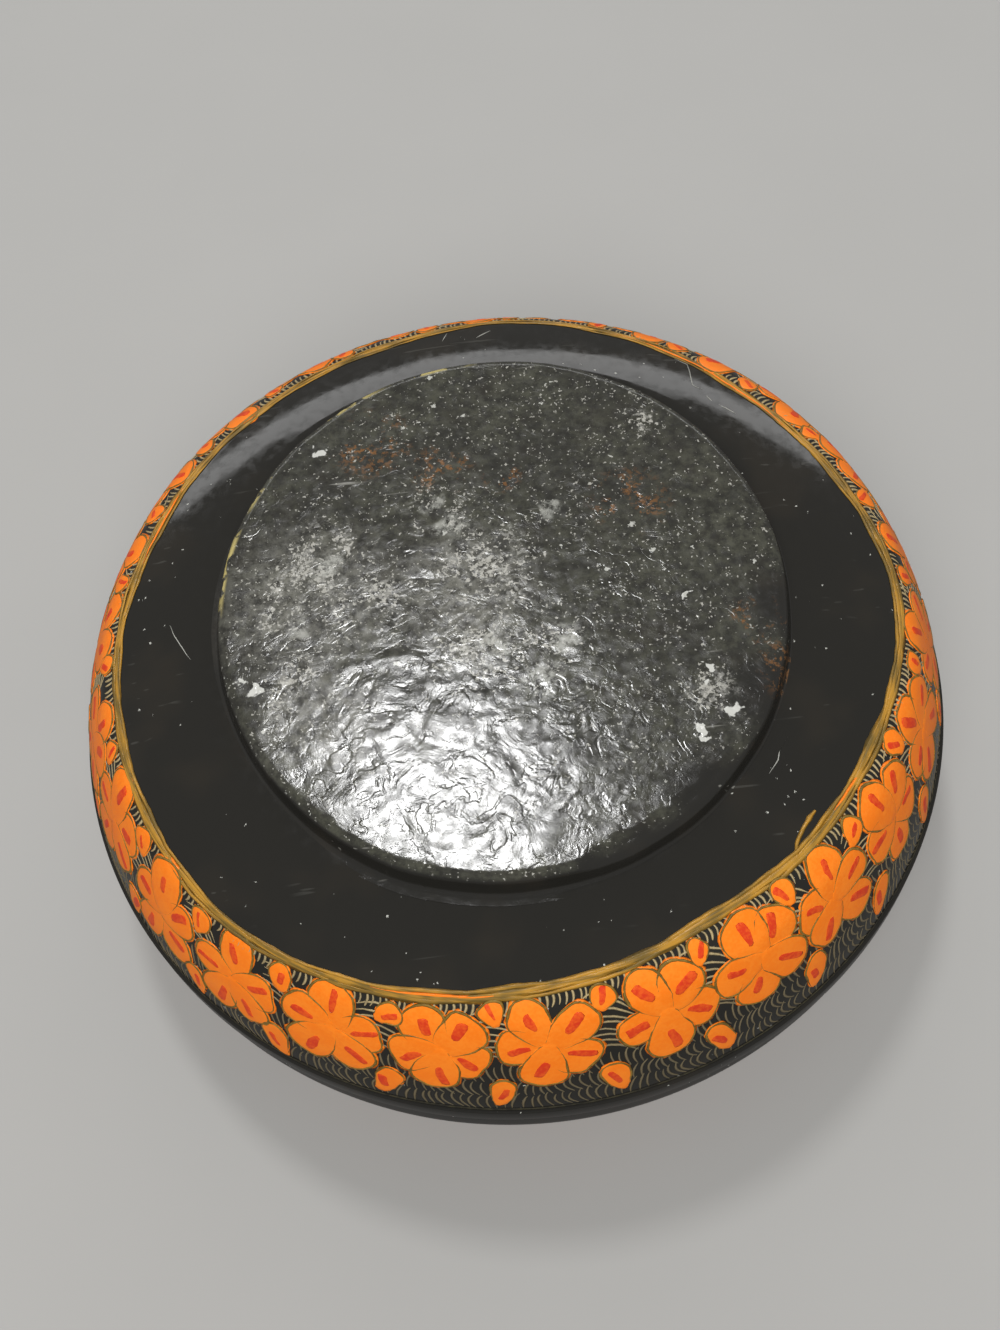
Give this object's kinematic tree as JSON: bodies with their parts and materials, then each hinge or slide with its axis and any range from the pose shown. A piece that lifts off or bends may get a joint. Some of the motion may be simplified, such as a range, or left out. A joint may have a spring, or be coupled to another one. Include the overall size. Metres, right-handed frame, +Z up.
{
  "type": "lidded box",
  "caption": "Round papier mache box with a loose low-domed lid, a raised foot disc and a neck collar that seats the lid, in black lacquer with a painted floral band.",
  "frame": {"origin": "middle of the lid's flat crown; the box is stored turned over as pictured, standing on its lid with its foot uppermost", "axes": "+Z up along the box's axis, from the lid's crown to the face of the foot; -Y towards the picture's viewer; +X to the viewer's right"},
  "size_m": [0.102, 0.102, 0.0398],
  "materials": {
    "base_lacquer": "glossy black lacquer over papier mache, with a painted floral band",
    "foot_lacquer": "worn and wrinkled black lacquer over papier mache",
    "collar_board": "black painted pasteboard",
    "lid_lacquer": "glossy black lacquer over papier mache, with a painted floral top"
  },
  "bodies": {
    "lid": {"lid_shell": "lid_lacquer"},
    "base": {"base_shell": "base_lacquer", "foot_disc": "foot_lacquer", "neck_collar": "collar_board"}
  },
  "joints": [
    {"name": "base_lift", "type": "slide", "parent": "lid", "child": "base", "axis": [0, 0, 1], "range_m": [0, 0.02]}
  ]
}
